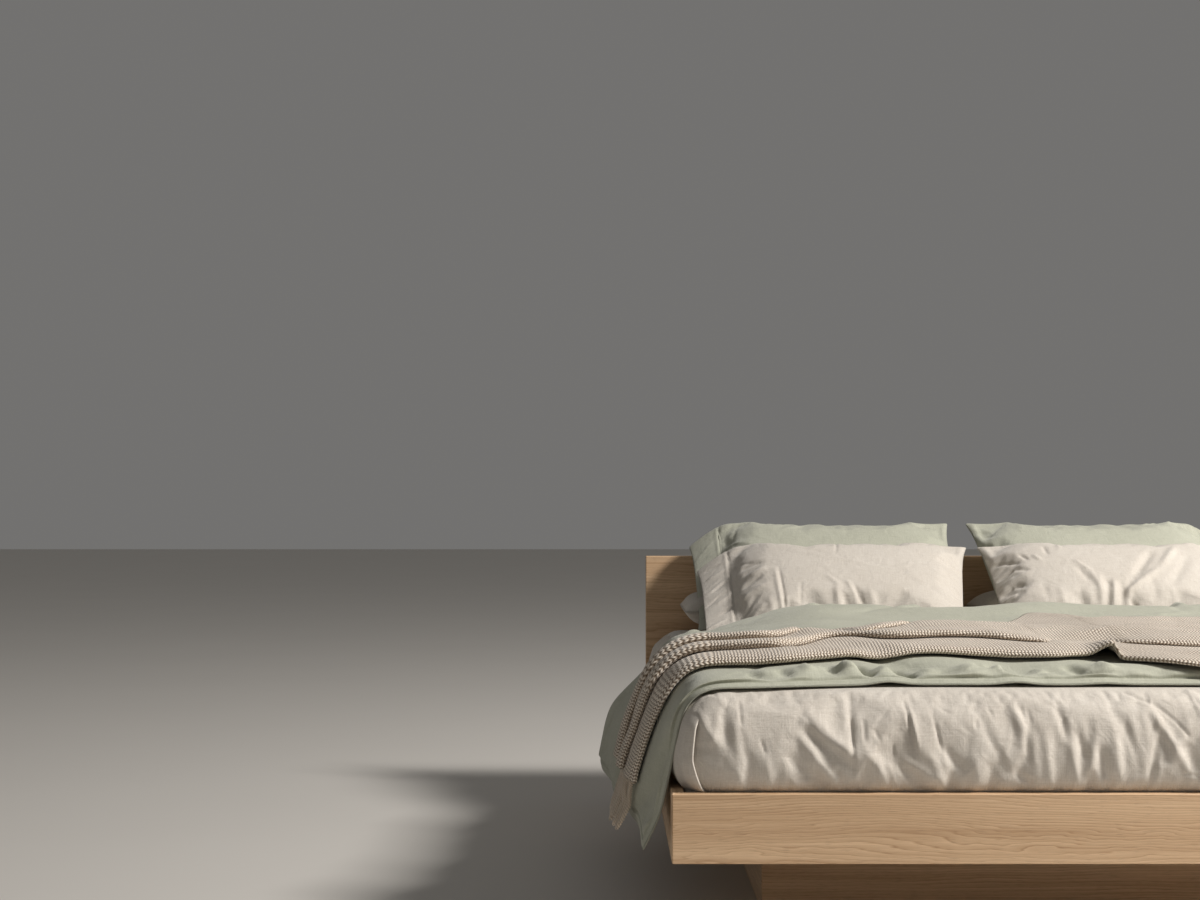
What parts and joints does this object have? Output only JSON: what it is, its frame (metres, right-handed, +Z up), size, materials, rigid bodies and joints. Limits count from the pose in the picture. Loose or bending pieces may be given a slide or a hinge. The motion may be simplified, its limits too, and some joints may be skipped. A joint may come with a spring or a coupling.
{
  "type": "platform bed",
  "caption": "Low oak platform bed on a recessed plinth, with a plain headboard, slatted base, mattress, layered pillows, a draped duvet and a fringed knitted throw.",
  "frame": {"origin": "on the floor, midway across and along the bed", "axes": "+Z up, +X across the bed, +Y from the foot to the headboard"},
  "size_m": [2.0892, 2.08, 0.8306],
  "materials": {
    "oak": "oiled, matte",
    "pine": "planed, bare",
    "natural_linen": "washed plain weave",
    "sage_linen": "washed plain weave",
    "beige_knit": "chunky knit"
  },
  "bodies": {
    "root": {"headboard": "oak", "rail_foot": "oak", "rail_left": "oak", "rail_right": "oak", "plinth_foot": "oak", "plinth_head": "oak", "plinth_left": "oak", "plinth_right": "oak", "rail_head": "pine", "ledger_left": "pine", "ledger_right": "pine", "bearer_1": "pine", "bearer_2": "pine", "bearer_3": "pine", "spine_1": "pine", "spine_2": "pine", "spine_3": "pine", "spine_4": "pine", "slat_01": "pine", "slat_02": "pine", "slat_03": "pine", "slat_04": "pine", "slat_05": "pine", "slat_06": "pine", "slat_07": "pine", "slat_08": "pine", "slat_09": "pine", "slat_10": "pine", "slat_11": "pine", "slat_12": "pine", "slat_13": "pine", "mattress": "natural_linen", "pillow_flat_left": "natural_linen", "pillow_flat_right": "natural_linen", "pillow_linen_left": "natural_linen", "pillow_linen_right": "natural_linen", "duvet": "sage_linen", "pillow_sage_left": "sage_linen", "pillow_sage_right": "sage_linen", "throw": "beige_knit", "fringe_left": "beige_knit", "fringe_right": "beige_knit"}
  },
  "joints": []
}
